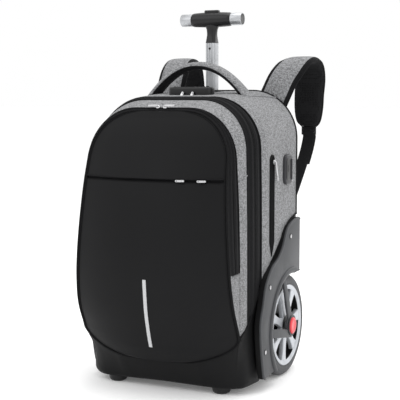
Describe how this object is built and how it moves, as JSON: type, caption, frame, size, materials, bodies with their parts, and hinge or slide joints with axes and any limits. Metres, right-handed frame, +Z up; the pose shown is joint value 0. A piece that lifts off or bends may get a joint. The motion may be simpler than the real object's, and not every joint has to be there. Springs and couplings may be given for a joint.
{
  "type": "wheeled backpack",
  "caption": "Backpack with side wheels under plastic fenders, a telescopic T handle, a carry handle, shoulder straps and a domed front panel over a moulded base.",
  "frame": {"origin": "centre of the bag's outline on the ground", "axes": "+Z up, -Y towards the front panel, +X towards the side with the charging port"},
  "size_m": [0.3432, 0.4013, 0.65],
  "materials": {
    "melange_cloth": "woven grey melange, matt",
    "black_cloth": "black woven cloth and zip tape, matt",
    "coated_cloth": "smooth coated black cloth, satin",
    "base_plastic": "moulded, fine grain, satin",
    "fender_plastic": "moulded dark grey, satin",
    "tyre_rubber": "grey soft rubber, matt",
    "rim_silver": "silver painted, satin gloss",
    "tube_aluminium": "anodised, satin",
    "red_plastic": "red moulded cap, gloss",
    "black_plastic": "black moulded, semi gloss",
    "reflective_tape": "silver reflective tape, satin",
    "pull_metal": "plated zinc, polished"
  },
  "bodies": {
    "bag": {"body_shell": "melange_cloth", "front_gusset": "melange_cloth", "carry_handle": "melange_cloth", "shoulder_strap_right": "melange_cloth", "shoulder_strap_left": "melange_cloth", "main_zip_band": "black_cloth", "front_zip_band": "black_cloth", "pocket_zip": "black_cloth", "back_pad": "black_cloth", "strap_webbing_right": "black_cloth", "strap_webbing_left": "black_cloth", "strap_tail_right": "black_cloth", "strap_tail_left": "black_cloth", "side_pocket_zip": "black_cloth", "front_panel_upper": "coated_cloth", "front_panel_lower": "coated_cloth", "reflective_strip": "reflective_tape", "base_shell": "base_plastic", "fender_right": "fender_plastic", "axle_right": "tube_aluminium", "rivet_top_right": "tube_aluminium", "rivet_middle_right": "tube_aluminium", "rivet_low_right": "tube_aluminium", "hub_boss_right": "black_plastic", "foot_right": "black_plastic", "strap_buckle_right": "black_plastic", "hub_cap_right": "red_plastic", "main_zip_pull_right": "pull_metal", "front_zip_pull_right": "pull_metal", "fender_left": "fender_plastic", "axle_left": "tube_aluminium", "rivet_top_left": "tube_aluminium", "rivet_middle_left": "tube_aluminium", "rivet_low_left": "tube_aluminium", "hub_boss_left": "black_plastic", "foot_left": "black_plastic", "strap_buckle_left": "black_plastic", "hub_cap_left": "red_plastic", "main_zip_pull_left": "pull_metal", "front_zip_pull_left": "pull_metal", "trolley_sleeve": "tube_aluminium", "trolley_collar": "black_plastic", "lock_housing": "black_plastic", "charging_port": "black_plastic", "pocket_zip_pull_inner": "pull_metal", "pocket_zip_pull_outer": "pull_metal", "side_pocket_pull": "pull_metal"},
    "upper_handle": {"trolley_upper_tube": "tube_aluminium", "trolley_grip": "black_plastic", "grip_tube_right": "tube_aluminium", "grip_tube_left": "tube_aluminium", "grip_plug_right": "black_plastic", "grip_plug_left": "black_plastic"},
    "middle_handle": {"trolley_middle_tube": "tube_aluminium"},
    "button": {"grip_button": "black_plastic"},
    "wheel_right": {"tyre_right": "tyre_rubber", "rim_right": "rim_silver"},
    "wheel_left": {"tyre_left": "tyre_rubber", "rim_left": "rim_silver"}
  },
  "joints": [
    {"name": "wheel_right_spin", "type": "hinge", "parent": "bag", "child": "wheel_right", "pos_m": [0.143, 0.0485, 0.09], "axis": [1, 0, 0], "continuous": true},
    {"name": "wheel_left_spin", "type": "hinge", "parent": "bag", "child": "wheel_left", "pos_m": [-0.143, 0.0485, 0.09], "axis": [1, 0, 0], "continuous": true},
    {"name": "trolley_middle_slide", "type": "slide", "parent": "bag", "child": "middle_handle", "axis": [0, 0, 1], "range_m": [0, 0.16]},
    {"name": "trolley_upper_slide", "type": "slide", "parent": "middle_handle", "child": "upper_handle", "axis": [0, 0, 1], "range_m": [-0.083, 0.23]},
    {"name": "grip_button_press", "type": "slide", "parent": "upper_handle", "child": "button", "axis": [0, 0, -1], "range_m": [0, 0.0025], "stiffness_N_per_m": 800, "springref_m": -0.002}
  ]
}
